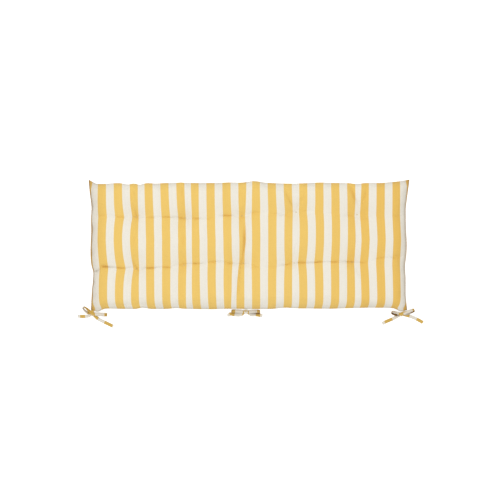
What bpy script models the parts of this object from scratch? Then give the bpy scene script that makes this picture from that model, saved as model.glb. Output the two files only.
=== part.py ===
"""Bench cushion: a striped, tufted pad with three tied bows along its front edge.

The case and its filling are one solid: a top and a bottom panel that meet in a knife-edge
seam, drawn in between the corners, with ten tufts stitched through it in two rows and a
sewn crease along each row. Each tie is a flat strip, knotted into a bow with two loops and
two free ends, and is a solid of its own.

Metres, +Z up. X runs along the cushion, +Y points away from the tied edge, and the origin
is on the surface that the cushion lies on, under the middle of it.
"""
import math

import bmesh
import bpy
from mathutils import Vector

MM = 0.001
WELD = 0.01 * MM  # points closer than this are one

# ---- the case -------------------------------------------------------------------------
HALF_LENGTH = 589 * MM  # middle of the cushion to the seam of a short side
HALF_WIDTH = 234 * MM  # middle of the cushion to the seam of a long side
SEAM_HEIGHT = 23 * MM  # the knife-edge seam above the surface
CROWN = 43 * MM  # how far a full pillow rises above the seam
BELLY = 33 * MM  # how far it would sink below the seam if nothing carried it
ROLL = 38 * MM  # distance over which the panel rolls up from the seam
ROLL_ROUND = 2.1  # roundness of that roll where it meets the face
ROLL_STEEP = 0.5  # and its steepness at the seam: 0.5 is upright, 1 is slanted
CORNER_DROOP = 14 * MM  # the unfilled corner tips hang this far below the seam
DROOP_REACH = 45 * MM
CELL_STEPS_X = 11  # grid steps between two tuft columns
CELL_STEPS_Y = 9  # grid steps between two tuft rows
CELLS_ACROSS = 3  # pillows across the cushion, between its two rows of tufts and its sides
CROWDING = 0.7  # 0 spaces the grid evenly, 1 crowds it most at the tufts and the seam

# ---- tufts: place of each stitch, column by column --------------------------------------
# row: x, y
BACK_ROW = [(-422, 107), (-239, 103), (-25, 111), (178, 125), (406, 114)]
FRONT_ROW = [(-422, -88), (-242, -74), (-21, -66), (170, -66), (388, -62)]
TUFT_PULL = 0.70  # share of the crown that the stitch takes away
TUFT_REACH = 36 * MM
COLUMN_VALLEY = 0.10  # soft dip between two columns of pillows
ROW_VALLEY = 0.22  # soft dip along a row of tufts
VALLEY_REACH = 42 * MM

# ---- the sewn crease along each row of tufts ----------------------------------------------
# x, y, share of the crown taken
BACK_LINE = [
    (-589, 109, 0.04), (-542, 112, 0.12), (-509, 113, 0.07), (-490, 107, 0.08), (-473, 106, 0.10),
    (-449, 106, 0.05), (-421, 107, 0.18), (-389, 104, 0.10), (-364, 105, 0.12), (-344, 106, 0.05),
    (-314, 106, 0.16), (-276, 105, 0.13), (-256, 102, 0.24), (-235, 100, 0.18), (-222, 101, 0.07),
    (-194, 101, 0.16), (-171, 100, 0.06), (-141, 99, 0.06), (-119, 107, 0.02), (-92, 112, 0.22),
    (-72, 112, 0.20), (-47, 110, 0.07), (-27, 107, 0.16), (-6, 107, 0.10), (11, 119, 0.06),
    (28, 123, 0.10), (50, 122, 0.02), (99, 118, 0.04), (142, 114, 0.12), (163, 119, 0.10),
    (178, 123, 0.12), (204, 128, 0.10), (230, 131, 0.03), (324, 116, 0.00), (358, 112, 0.08),
    (380, 112, 0.14), (406, 106, 0.14), (425, 101, 0.12), (451, 102, 0.04), (481, 105, 0.06),
    (530, 107, 0.02), (571, 109, 0.10), (590, 107, 0.06),
]
FRONT_LINE = [
    (-589, -96, 0.20), (-571, -98, 0.30), (-554, -82, 0.18), (-533, -81, 0.34), (-503, -83, 0.16),
    (-477, -86, 0.24), (-447, -85, 0.16), (-422, -87, 0.16), (-385, -86, 0.14), (-362, -85, 0.26),
    (-332, -81, 0.10), (-308, -82, 0.16), (-287, -83, 0.08), (-261, -74, 0.14), (-241, -71, 0.15),
    (-218, -68, 0.08), (-196, -69, 0.18), (-158, -66, 0.10), (-141, -63, 0.16), (-102, -62, 0.08),
    (-74, -68, 0.14), (-47, -68, 0.08), (-21, -68, 0.12), (1, -71, 0.07), (46, -84, 0.04),
    (99, -80, 0.06), (142, -73, 0.15), (170, -66, 0.12), (189, -65, 0.28), (223, -66, 0.15),
    (264, -63, 0.20), (290, -61, 0.10), (318, -63, 0.18), (343, -61, 0.09), (376, -62, 0.24),
    (403, -63, 0.12), (421, -64, 0.18), (448, -63, 0.06), (478, -51, 0.16), (519, -44, 0.08),
    (541, -46, 0.15), (583, -39, 0.10),
]
CREASE_HALF = 11 * MM

# ---- other creases in the face: a row for each ---------------------------------------------
# from x, from y, to x, to y, share of the crown taken, half width (mm)
CREASES = [
    (-16, 88, -17, 1, 0.26, 12),
    (-17, 1, -26, -60, 0.24, 12),
    (-30, -62, -38, -130, 0.20, 12),
    (-38, -130, -44, -205, 0.14, 12),
    (-254, 228, -239, 120, 0.16, 13),
    (137, 204, 167, 142, 0.20, 11),
    (198, 170, 194, 138, 0.14, 10),
    (379, 226, 404, 150, 0.20, 11),
    (443, 211, 421, 144, 0.20, 11),
    (-441, -47, -424, -80, 0.20, 11),
    (-420, -98, -412, -133, 0.14, 11),
    (-436, 151, -423, 112, 0.16, 11),
    (-418, 92, -414, 50, 0.10, 10),
]

# ---- where the seam is drawn in (minus: let out) ------------------------------------------
# along the side, depth, half width (mm)
BACK_SIDE = [
    (-548, 3.6, 34), (-454, 5.5, 18), (-409, 6.5, 16), (-347, 2, 20), (-254, -2, 14),
    (-70, -2.2, 32), (20, -7, 34), (160, 2.5, 50), (270, -2, 30), (404, 4, 20), (558, 2, 28),
]
FRONT_SIDE = [
    (-564, -11.5, 15), (-396, 5, 19), (-330, -2.8, 250), (-272, 3, 22), (-150, -2.2, 52),
    (60, -3, 120), (136, 4, 32), (290, -2.2, 70), (440, 2, 80), (567, -11, 16),
]
LEFT_SIDE = [(-20, -4, 60), (95, -2, 30), (-98, 4, 17), (-126, 5.5, 34)]
RIGHT_SIDE = [(0, -4, 55), (-78, 3, 30)]
SIDE_REACH = 48 * MM  # how far into the face a drawn-in place is felt

# ---- corner tips ------------------------------------------------------------------------
# sign of x, sign of y, then how far the tip is out and over which length (mm): along x, along y
CORNERS = [
    (-1, 1, 12, 92, 14, 26),
    (1, 1, 15, 96, 14, 90),
    (-1, -1, 3, 50, 5, 34),
    (1, -1, 6, 48, 6, 34),
]
CORNER_CURVE = 1.1  # 1 draws a tip out straight, more bends it in at its root

# ---- ties -------------------------------------------------------------------------------
TAPE_WIDTH = 12.5 * MM
TAPE_THICKNESS = 1.6 * MM
TIE_GAP = 0.4 * MM  # clear distance between the seam and the tie sewn to it
KNOT_SIZE = (17 * MM, 15 * MM, 11.4 * MM)
KNOT_LIFT = 6 * MM  # knot's middle above the surface
LAYER_LIFT = 1.3 * MM  # middle of the lowest layer above the surface
KNOT_STEPS = (14, 9)  # sides round the knot and from top to bottom
LOOP_STEPS = 2  # grid steps to each stretch of a loop and of a lead
TAIL_STEPS = 3  # and of a tail
LEAD_FALL = (4 * MM, 1 * MM)  # a lead first runs out from the seam by this, and down
TAIL_ROOT = 4 * MM  # a tail leaves the knot's middle at this height
TWIST_FROM_KNOT = 1.6  # a loop has its whole twist at 1 / this of the way out
TWIST_SINK = 0.2 * MM  # the lower edge of a twisted loop may sit this much lower

# ---- a loop seen from its side -----------------------------------------------------------
# share of the way out, height above the surface (mm), share of the lower layer's sideways shift
LOOP_SECTION = [
    (0.00, 7.0, 0.0),
    (0.35, 9.3, 0.0),
    (0.72, 9.3, 0.0),
    (0.95, 7.8, 0.2),
    (1.00, 5.3, 0.5),
    (0.95, 2.5, 0.8),
    (0.70, 1.3, 1.0),
    (0.35, 1.3, 0.8),
    (0.00, 4.5, 0.0),
]

# Each tie: its knot's x, y; the place on the panel's edge where it is sewn in; for each loop the
# place of its fold, its width's twist in degrees and how far its lower layer lies to the left of
# the upper one, seen from the knot; and the points of each tail on the surface, ending at its
# free end (mm).
TIES = {
    "tie_left": dict(
        knot=(-587, -257),
        sewn_at=(-583, -234),
        loops=[((-618, -228), 64, 11), ((-532, -260), -14, -1.5)],
        tails=[
            [(-600, -265), (-622, -267), (-643, -266)],
            [(-566, -276), (-545, -287), (-524, -297), (-509, -305)],
        ],
    ),
    "tie_middle": dict(
        knot=(-10, -250),
        sewn_at=(-10, -234),
        loops=[((-64, -245), 14, 7), ((42, -246), -24, -7)],
        tails=[
            [(-30, -260), (-52, -260), (-70, -256), (-78, -265)],
            [(10, -261), (30, -260), (52, -263)],
        ],
    ),
    "tie_right": dict(
        knot=(573, -259),
        sewn_at=(580, -234),
        loops=[((538, -247), 58, 9), ((621, -240), -34, -6)],
        tails=[
            [(556, -269), (535, -279), (516, -287), (502, -294)],
            [(595, -263), (616, -270), (636, -279), (655, -290)],
        ],
    ),
}

YELLOW = (0.84, 0.56, 0.16, 1.0)
OFF_WHITE = (0.86, 0.83, 0.76, 1.0)
STRIPE_PITCH = 58 * MM  # one yellow and one off-white stripe
STRIPE_SHIFT = 29 * MM  # brings an off-white stripe's middle to the cushion's middle


def clear_scene():
    for thing in list(bpy.data.objects):
        bpy.data.objects.remove(thing, do_unlink=True)


def collection(name):
    made = bpy.data.collections.new(name)
    bpy.context.scene.collection.children.link(made)
    return made


def striped_cloth(name, pitch):
    """Matt cotton with yellow and off-white stripes across X, pitch apart."""
    material = bpy.data.materials.new(name)
    material.use_nodes = True
    nodes, links = material.node_tree.nodes, material.node_tree.links
    shader = nodes["Principled BSDF"]
    shader.inputs["Roughness"].default_value = 0.85
    shader.inputs["Metallic"].default_value = 0.0
    place = nodes.new("ShaderNodeNewGeometry")
    split = nodes.new("ShaderNodeSeparateXYZ")
    wrap = nodes.new("ShaderNodeMath")
    wrap.operation = "PINGPONG"
    wrap.inputs[1].default_value = pitch / 2
    step = nodes.new("ShaderNodeMath")
    step.operation = "GREATER_THAN"
    step.inputs[1].default_value = pitch / 4
    mix = nodes.new("ShaderNodeMix")
    mix.data_type = "RGBA"
    mix.inputs["A"].default_value = YELLOW
    mix.inputs["B"].default_value = OFF_WHITE
    slide = nodes.new("ShaderNodeMath")
    slide.operation = "ADD"
    slide.inputs[1].default_value = STRIPE_SHIFT
    links.new(place.outputs["Position"], split.inputs[0])
    links.new(split.outputs["X"], slide.inputs[0])
    links.new(slide.outputs[0], wrap.inputs[0])
    links.new(wrap.outputs[0], step.inputs[0])
    links.new(step.outputs[0], mix.inputs["Factor"])
    links.new(mix.outputs["Result"], shader.inputs["Base Color"])
    return material


# ---- the cushion --------------------------------------------------------------------------


def bump(distance, reach):
    return math.exp(-((distance / reach) ** 2))


def tent(distance, reach):
    """A sharp fold: 1 on the line, falling away at once on both sides."""
    return math.exp(-abs(distance) / reach)


def crowded(count, crowding):
    """count + 1 steps from 0 to 1, closer together at both ends."""
    for step in range(count + 1):
        even = step / count
        yield (1 - crowding) * even + crowding * (1 - math.cos(math.pi * even)) / 2


def grid_lines(stops, count):
    """Grid lines through all the stops, count steps in each stretch."""
    lines = [stops[0]]
    for low, high in zip(stops, stops[1:]):
        lines += [low + (high - low) * share for share in crowded(count, CROWDING)][1:]
    return lines


def line_place(line, x):
    """y of a sewn crease at x and the share it takes, straight from point to point."""
    for (x0, y0, taken0), (x1, y1, taken1) in zip(line, line[1:]):
        if x0 * MM <= x <= x1 * MM:
            share = (x - x0 * MM) / ((x1 - x0) * MM)
            return (y0 + (y1 - y0) * share) * MM, taken0 + (taken1 - taken0) * share
    _, y, taken = line[0] if x < 0 else line[-1]
    return y * MM, taken


def drawn_in(table, along):
    return sum(depth * MM * bump(along - place * MM, half * MM) for place, depth, half in table)


def face_place(x, y):
    """Where a point of the flat panel comes to lie: sides drawn in, corner tips let out."""
    right = (HALF_LENGTH - x) / SIDE_REACH
    left = (HALF_LENGTH + x) / SIDE_REACH
    back = (HALF_WIDTH - y) / SIDE_REACH
    front = (HALF_WIDTH + y) / SIDE_REACH
    move_x = drawn_in(LEFT_SIDE, y) * math.exp(-left) - drawn_in(RIGHT_SIDE, y) * math.exp(-right)
    move_y = drawn_in(FRONT_SIDE, x) * math.exp(-front) - drawn_in(BACK_SIDE, x) * math.exp(-back)
    for sign_x, sign_y, out_x, reach_x, out_y, reach_y in CORNERS:
        from_tip = HALF_LENGTH - sign_x * x + HALF_WIDTH - sign_y * y
        move_x += sign_x * out_x * MM * max(0.0, 1 - from_tip / (reach_x * MM)) ** CORNER_CURVE
        move_y += sign_y * out_y * MM * max(0.0, 1 - from_tip / (reach_y * MM)) ** CORNER_CURVE
    return x + move_x, y + move_y


def rolled(distance):
    """Share of the full crown at this distance from the seam."""
    left = min(1.0, max(0.0, 1 - distance / ROLL))
    return (1 - left**ROLL_ROUND) ** ROLL_STEEP


def segment_gap(x, y, x0, y0, x1, y1):
    run_x, run_y = x1 - x0, y1 - y0
    share = ((x - x0) * run_x + (y - y0) * run_y) / (run_x**2 + run_y**2)
    share = min(1.0, max(0.0, share))
    return math.hypot(x - x0 - share * run_x, y - y0 - share * run_y)


def fullness(x, y):
    """Share of the crown left at a point: seam, tufts, valleys and creases taken away."""
    full = rolled(HALF_LENGTH - abs(x)) * rolled(HALF_WIDTH - abs(y))
    for line in (BACK_LINE, FRONT_LINE):
        line_y, taken = line_place(line, x)
        full *= 1 - ROW_VALLEY * bump(y - line_y, VALLEY_REACH)
        full *= 1 - taken * tent(y - line_y, CREASE_HALF)
    for tuft_x, tuft_y in BACK_ROW + FRONT_ROW:
        gap = math.hypot(x - tuft_x * MM, y - tuft_y * MM)
        full *= 1 - TUFT_PULL * tent(gap, TUFT_REACH)
    for (back_x, back_y), (front_x, front_y) in zip(BACK_ROW, FRONT_ROW):
        share = (y - front_y * MM) / ((back_y - front_y) * MM)
        column_x = (front_x + (back_x - front_x) * min(1.0, max(0.0, share))) * MM
        full *= 1 - COLUMN_VALLEY * bump(x - column_x, VALLEY_REACH)
    for x0, y0, x1, y1, taken, half in CREASES:
        gap = segment_gap(x, y, x0 * MM, y0 * MM, x1 * MM, y1 * MM)
        full *= 1 - taken * tent(gap, half * MM)
    return full


def middle_height(x, y):
    """Height of the layer that the seam lies in: the corner tips hang down."""
    gap = math.hypot(HALF_LENGTH - abs(x), HALF_WIDTH - abs(y))
    return SEAM_HEIGHT - CORNER_DROOP * math.exp(-gap / DROOP_REACH)


def make_panel(mesh, lines_x, upper):
    """One panel of the case, added to the mesh as a grid and then shaped."""
    steps_x = len(lines_x) - 1
    steps_y = CELLS_ACROSS * CELL_STEPS_Y
    made = bmesh.ops.create_grid(mesh, x_segments=steps_x, y_segments=steps_y, size=0.5)
    panel = made["verts"]
    for vert in panel:
        column = round((vert.co.x + 0.5) * steps_x)
        line = round((vert.co.y + 0.5) * steps_y)
        x = lines_x[column]
        front, back = line_place(FRONT_LINE, x)[0], line_place(BACK_LINE, x)[0]
        y = grid_lines([-HALF_WIDTH, front, back, HALF_WIDTH], CELL_STEPS_Y)[line]
        middle = middle_height(x, y)
        if upper:
            z = middle + CROWN * fullness(x, y)
        else:
            z = max(0.0, middle - BELLY * fullness(x, y))
        vert.co = (*face_place(x, y), z)
    # a corner face is split from its tip inwards, so that both panels keep their own two halves
    for tip in [vert for vert in panel if len(vert.link_faces) == 1]:
        inner = [vert for vert in tip.link_faces[0].verts if not vert.is_boundary]
        bmesh.ops.connect_verts(mesh, verts=[tip, *inner])
    if not upper:
        faces = {face for vert in panel for face in vert.link_faces}
        bmesh.ops.reverse_faces(mesh, faces=list(faces))


def panel_lines():
    """x of the panels' grid lines, with one through the middle of each column of tufts."""
    columns = [(back[0] + front[0]) / 2 * MM for back, front in zip(BACK_ROW, FRONT_ROW)]
    return grid_lines([-HALF_LENGTH, *columns, HALF_LENGTH], CELL_STEPS_X)


def make_cushion(parts):
    lines_x = panel_lines()
    mesh = bmesh.new()
    make_panel(mesh, lines_x, upper=True)
    make_panel(mesh, lines_x, upper=False)
    seam = [vert for vert in mesh.verts if vert.is_boundary]
    bmesh.ops.remove_doubles(mesh, verts=seam, dist=WELD)
    bmesh.ops.triangulate(mesh, faces=mesh.faces)
    data = bpy.data.meshes.new("cushion")
    mesh.to_mesh(data)
    mesh.free()
    data.shade_smooth()
    cushion = bpy.data.objects.new("cushion", data)
    cushion.data.materials.append(striped_cloth("striped cotton case", STRIPE_PITCH))
    parts.objects.link(cushion)


# ---- the ties -----------------------------------------------------------------------------


def smooth_path(points, steps):
    """Points on a smooth curve through the given ones, steps to each stretch."""
    ends = [points[0]] + points + [points[-1]]
    path = []
    for a, b, c, d in zip(ends, ends[1:], ends[2:], ends[3:]):
        for step in range(steps):
            t = step / steps
            path.append(
                0.5 * (2 * b + (c - a) * t + (2 * a - 5 * b + 4 * c - d) * t * t
                       + (3 * b - a - 3 * c + d) * t**3)
            )
    return path + [points[-1]]


def tape(name, path, across, guides):
    """A flat strip along a path: a grid one cell wide, thickened by Solidify."""
    mesh = bmesh.new()
    made = bmesh.ops.create_grid(mesh, x_segments=len(path) - 1, y_segments=1, size=0.5)
    for vert in made["verts"]:
        step = round((vert.co.x + 0.5) * (len(path) - 1))
        side = 1 if vert.co.y > 0 else -1
        vert.co = path[step] + across[step] * side * TAPE_WIDTH / 2
    data = bpy.data.meshes.new(name)
    mesh.to_mesh(data)
    mesh.free()
    strip = bpy.data.objects.new(name, data)
    solid = strip.modifiers.new("thickness", "SOLIDIFY")
    solid.thickness = TAPE_THICKNESS
    solid.offset = 0
    strip.hide_render = True
    strip.display_type = "WIRE"
    guides.objects.link(strip)
    return strip


def level_across(path):
    """Width directions that lie level, square to the path."""
    found = []
    for step, point in enumerate(path):
        ahead = path[min(step + 1, len(path) - 1)] - path[max(step - 1, 0)]
        found.append(Vector((-ahead.y, ahead.x, 0)).normalized())
    return found


def make_loop(name, knot, fold, twist, shift, guides):
    """A strip that leaves the knot, folds back over itself and returns into the knot."""
    out = Vector((fold[0] * MM - knot.x, fold[1] * MM - knot.y, 0))
    along = out.normalized()
    across = Vector((-along.y, along.x, 0))
    points = [
        Vector((knot.x, knot.y, height * MM)) + out * share + across * shift * lower * MM
        for share, height, lower in LOOP_SECTION
    ]
    path = smooth_path(points, LOOP_STEPS)
    widths = []
    for point in path:
        share = (point - knot).dot(along) / out.length * TWIST_FROM_KNOT
        angle = math.radians(twist) * min(1.0, max(0.0, share))
        widths.append(across * math.cos(angle) + Vector((0, 0, math.sin(angle))))
        # a twisted strip stands on its lower edge
        point.z += max(0.0, abs(math.sin(angle)) * TAPE_WIDTH / 2 - TWIST_SINK)
    return tape(name, path, widths, guides)


def on_edge(edge, x):
    """The point of a panel's edge at x, straight from grid line to grid line."""
    for low, high in zip(edge, edge[1:]):
        if low.x <= x <= high.x:
            return low.lerp(high, (x - low.x) / (high.x - low.x))
    return edge[0] if x < edge[0].x else edge[-1]


def seam_start(x, y):
    """Where a tie sewn in at this place of the panel's edge comes out, clear of the seam."""
    lines = panel_lines()
    edge = [Vector((*face_place(line, y * MM), middle_height(line, y * MM))) for line in lines]
    middle_x, _ = face_place(x * MM, y * MM)
    behind = [place for place in edge if abs(place.x - middle_x) < TAPE_WIDTH / 2]
    behind += [on_edge(edge, middle_x + side) for side in (-TAPE_WIDTH / 2, TAPE_WIDTH / 2)]
    nearest = min(behind, key=lambda place: place.y)
    return Vector((middle_x, nearest.y - TIE_GAP, nearest.z))


def make_tie(name, size, parts, guides):
    knot = Vector((size["knot"][0] * MM, size["knot"][1] * MM, KNOT_LIFT))
    mesh = bmesh.new()
    around, down = KNOT_STEPS
    bmesh.ops.create_uvsphere(mesh, u_segments=around, v_segments=down, radius=0.5)
    for vert in mesh.verts:
        vert.co = knot + Vector([at * full for at, full in zip(vert.co, KNOT_SIZE)])
    data = bpy.data.meshes.new(name)
    mesh.to_mesh(data)
    mesh.free()
    data.shade_smooth()
    tie = bpy.data.objects.new(name, data)
    tie.data.materials.append(striped_cloth(name + " cotton", STRIPE_PITCH))
    parts.objects.link(tie)

    seam = seam_start(*size["sewn_at"])
    strips = [make_loop(f"{name}_loop_{n}", knot, *loop, guides)
              for n, loop in enumerate(size["loops"], 1)]
    for n, tail in enumerate(size["tails"], 1):
        points = [knot.copy()] + [Vector((x * MM, y * MM, LAYER_LIFT)) for x, y in tail]
        points[0].z = TAIL_ROOT
        path = smooth_path(points, TAIL_STEPS)
        strips.append(tape(f"{name}_tail_{n}", path, level_across(path), guides))
    out, fall = LEAD_FALL
    lead = smooth_path([seam, seam - Vector((0, out, fall)), knot.copy()], LOOP_STEPS)
    along_edge = [Vector((1, 0, 0))] * len(lead)
    strips.append(tape(f"{name}_lead", lead, along_edge, guides))
    for strip in strips:
        join = tie.modifiers.new(strip.name, "BOOLEAN")
        join.operation = "UNION"
        join.object = strip


def main():
    clear_scene()
    parts = collection("bench_cushion")
    guides = collection("tie_strips")
    make_cushion(parts)
    for name, size in TIES.items():
        make_tie(name, size, parts, guides)


main()
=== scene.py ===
import math

import bpy
import numpy as np
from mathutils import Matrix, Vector


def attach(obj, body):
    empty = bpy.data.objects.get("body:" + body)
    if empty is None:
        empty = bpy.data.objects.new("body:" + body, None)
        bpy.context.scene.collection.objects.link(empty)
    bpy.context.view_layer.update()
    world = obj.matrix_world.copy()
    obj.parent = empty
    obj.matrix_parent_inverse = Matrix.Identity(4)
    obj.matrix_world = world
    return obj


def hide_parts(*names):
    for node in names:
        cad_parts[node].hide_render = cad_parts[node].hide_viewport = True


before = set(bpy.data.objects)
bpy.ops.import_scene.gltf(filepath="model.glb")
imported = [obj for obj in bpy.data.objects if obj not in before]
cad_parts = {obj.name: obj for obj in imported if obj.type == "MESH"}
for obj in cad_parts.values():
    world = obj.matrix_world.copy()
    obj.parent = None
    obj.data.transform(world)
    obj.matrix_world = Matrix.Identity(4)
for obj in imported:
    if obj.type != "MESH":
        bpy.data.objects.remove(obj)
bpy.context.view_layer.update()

MM = 0.001
CENTRE = (5.1 * MM, -17.4 * MM)  # point of the floor that the photograph's middle shows
VIEW_WIDTH = 1.875  # width of the view at the height of the seam
CAMERA_HEIGHT = 9.0
SENSOR = 36.0  # mm

# ---- the case: the same sizes as the solid ----
HALF_LENGTH = 589 * MM
HALF_WIDTH = 234 * MM
SEAM_HEIGHT = 23 * MM
CROWN = 43 * MM
BELLY = 33 * MM
ROLL = 38 * MM
ROLL_ROUND = 2.1
ROLL_STEEP = 0.5
CORNER_DROOP = 14 * MM
DROOP_REACH = 45 * MM
BACK_ROW = [(-422, 107), (-239, 103), (-25, 111), (178, 125), (406, 114)]
FRONT_ROW = [(-422, -88), (-242, -74), (-21, -66), (170, -66), (388, -62)]
TUFTS = BACK_ROW + FRONT_ROW
TUFT_PULL = 0.70
TUFT_REACH = 36 * MM
COLUMN_VALLEY = 0.10
ROW_VALLEY = 0.22
VALLEY_REACH = 42 * MM
# sewn crease along each row of tufts: x, y, share of the crown taken
BACK_LINE = [
    (-589, 109, 0.04), (-542, 112, 0.12), (-509, 113, 0.07), (-490, 107, 0.08), (-473, 106, 0.10),
    (-449, 106, 0.05), (-421, 107, 0.18), (-389, 104, 0.10), (-364, 105, 0.12), (-344, 106, 0.05),
    (-314, 106, 0.16), (-276, 105, 0.13), (-256, 102, 0.24), (-235, 100, 0.18), (-222, 101, 0.07),
    (-194, 101, 0.16), (-171, 100, 0.06), (-141, 99, 0.06), (-119, 107, 0.02), (-92, 112, 0.22),
    (-72, 112, 0.20), (-47, 110, 0.07), (-27, 107, 0.16), (-6, 107, 0.10), (11, 119, 0.06),
    (28, 123, 0.10), (50, 122, 0.02), (99, 118, 0.04), (142, 114, 0.12), (163, 119, 0.10),
    (178, 123, 0.12), (204, 128, 0.10), (230, 131, 0.03), (324, 116, 0.00), (358, 112, 0.08),
    (380, 112, 0.14), (406, 106, 0.14), (425, 101, 0.12), (451, 102, 0.04), (481, 105, 0.06),
    (530, 107, 0.02), (571, 109, 0.10), (590, 107, 0.06),
]
FRONT_LINE = [
    (-589, -96, 0.20), (-571, -98, 0.30), (-554, -82, 0.18), (-533, -81, 0.34), (-503, -83, 0.16),
    (-477, -86, 0.24), (-447, -85, 0.16), (-422, -87, 0.16), (-385, -86, 0.14), (-362, -85, 0.26),
    (-332, -81, 0.10), (-308, -82, 0.16), (-287, -83, 0.08), (-261, -74, 0.14), (-241, -71, 0.15),
    (-218, -68, 0.08), (-196, -69, 0.18), (-158, -66, 0.10), (-141, -63, 0.16), (-102, -62, 0.08),
    (-74, -68, 0.14), (-47, -68, 0.08), (-21, -68, 0.12), (1, -71, 0.07), (46, -84, 0.04),
    (99, -80, 0.06), (142, -73, 0.15), (170, -66, 0.12), (189, -65, 0.28), (223, -66, 0.15),
    (264, -63, 0.20), (290, -61, 0.10), (318, -63, 0.18), (343, -61, 0.09), (376, -62, 0.24),
    (403, -63, 0.12), (421, -64, 0.18), (448, -63, 0.06), (478, -51, 0.16), (519, -44, 0.08),
    (541, -46, 0.15), (583, -39, 0.10),
]
CREASE_HALF = 11 * MM
# other creases: from x, from y, to x, to y, share of the crown taken, half width (mm)
CREASES = [
    (-16, 88, -17, 1, 0.26, 12),
    (-17, 1, -26, -60, 0.24, 12),
    (-30, -62, -38, -130, 0.20, 12),
    (-38, -130, -44, -205, 0.14, 12),
    (-254, 228, -239, 120, 0.16, 13),
    (137, 204, 167, 142, 0.20, 11),
    (198, 170, 194, 138, 0.14, 10),
    (379, 226, 404, 150, 0.20, 11),
    (443, 211, 421, 144, 0.20, 11),
    (-441, -47, -424, -80, 0.20, 11),
    (-420, -98, -412, -133, 0.14, 11),
    (-436, 151, -423, 112, 0.16, 11),
    (-418, 92, -414, 50, 0.10, 10),
]
BACK_SIDE = [
    (-548, 3.6, 34), (-454, 5.5, 18), (-409, 6.5, 16), (-347, 2, 20), (-254, -2, 14),
    (-70, -2.2, 32), (20, -7, 34), (160, 2.5, 50), (270, -2, 30), (404, 4, 20), (558, 2, 28),
]
FRONT_SIDE = [
    (-564, -11.5, 15), (-396, 5, 19), (-330, -2.8, 250), (-272, 3, 22), (-150, -2.2, 52),
    (60, -3, 120), (136, 4, 32), (290, -2.2, 70), (440, 2, 80), (567, -11, 16),
]
# the front seam's slack cloth hangs a little further out than the solid's edge
FRONT_SLACK = [(-100, -1.8, 900), (-430, -0.9, 90), (405, -1.0, 80)]
LEFT_SIDE = [(-20, -4, 60), (95, -2, 30), (-98, 4, 17), (-126, 5.5, 34)]
RIGHT_SIDE = [(0, -4, 55), (-78, 3, 30)]
SIDE_REACH = 48 * MM
CORNERS = [
    (-1, 1, 12, 92, 14, 26),
    (1, 1, 15, 96, 14, 90),
    (-1, -1, 3, 50, 5, 34),
    (1, -1, 6, 48, 6, 34),
]
CORNER_CURVE = 1.1

# ---- what the looks add to the case ----
CELL_STEPS_X = 29  # grid steps between two columns of tufts, before the cloth is subdivided
CELL_STEPS_Y = 22  # and between two rows
CROWDING_X = 0.6  # how much the grid lines crowd at the tufts
CROWDING_Y = 0.75
SLACK_FILL = 0.95  # the case starts this full and swells to its crown
SWELL_CAP = 6 * MM  # the most that a point moves while the case fills
FILL_FRAMES = 20
TUFT_HOLD = 3.5 * MM  # the cloth is held this far round each tuft
LIES_BELOW = 0.5 * MM  # and wherever it is lower than this, because it lies on the surface
CASE_CLOTH = dict(
    quality=6, mass=0.3, tension_stiffness=30, compression_stiffness=12, shear_stiffness=6,
    bending_stiffness=0.4, shrink_min=-0.02, uniform_pressure_force=4,
)

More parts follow.
